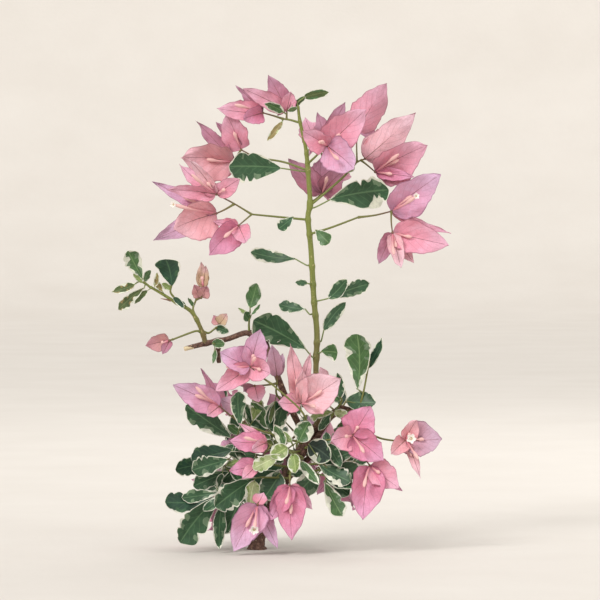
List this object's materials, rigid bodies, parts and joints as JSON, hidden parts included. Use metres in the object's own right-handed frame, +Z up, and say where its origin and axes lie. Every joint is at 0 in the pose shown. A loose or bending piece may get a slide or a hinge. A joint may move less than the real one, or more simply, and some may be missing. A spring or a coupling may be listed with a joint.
{
  "type": "bougainvillea bush",
  "caption": "Small bougainvillea bush with a woody stem, one tall green shoot, variegated leaves and papery pink blooms, rooted in level ground.",
  "frame": {"origin": "middle of the flat cut under the stem, where it meets level ground", "axes": "+Z up along the plant, +X to the right and -Y to the front, where the blooms face"},
  "size_m": [0.339, 0.1775, 0.475],
  "materials": {
    "bark": "thin brown bark with a purple tinge, finely ridged and matt",
    "green_stem": "young olive-green stem, smooth and slightly waxy",
    "leaf": "soft dark green leaves with cream edges, slightly glossy",
    "bract": "thin papery bracts, salmon to lilac pink with fine veins, matt"
  },
  "bodies": {
    "root": {"trunk": "bark", "main_shoot": "green_stem", "left_bough": "bark", "left_arm": "bark", "left_shoot": "green_stem", "left_snag": "bark", "right_bough": "bark", "back_bough_left": "bark", "back_bough_right": "bark", "leaf_top": "leaf", "leaf_high_left": "leaf", "leaf_high_right": "leaf", "leaf_mid_left": "leaf", "leaf_small_left": "leaf", "leaf_low_left": "leaf", "leaf_pair_right": "leaf", "leaf_low_right": "leaf", "leaf_foot_right": "leaf", "leaf_foot_left": "leaf", "left_tip_leaves": "leaf", "left_fan_leaf": "leaf", "left_arm_leaves": "leaf", "left_arm_sprig": "leaf", "mass_left_upper": "leaf", "mass_left_mid": "leaf", "mass_left_low": "leaf", "mass_front_low": "leaf", "mass_front_rosette": "leaf", "mass_right_low": "leaf", "mass_right_upper": "leaf", "mass_right_inner": "leaf", "mass_back_left_upper": "leaf", "mass_back_left_low": "leaf", "mass_back_middle": "leaf", "mass_back_right_low": "leaf", "mass_back_right_upper": "leaf", "mass_side_right": "leaf", "mass_side_left": "leaf", "spray_top_left": "bract", "spray_left_upper": "bract", "spray_left_lower": "bract", "spray_right_centre": "bract", "spray_right_behind": "bract", "spray_behind": "bract", "spray_right_upper": "bract", "spray_right_lower": "bract", "left_bud_upper": "bract", "left_bud_lower": "bract", "left_bud_inner": "bract", "bloom_left_high": "bract", "bloom_left_slim": "bract", "bloom_left_far": "bract", "bloom_left_front": "bract", "bloom_low_left": "bract", "bloom_low_centre": "bract", "bloom_right_pair": "bract", "bloom_right_far": "bract", "bloom_centre": "bract"}
  },
  "joints": []
}
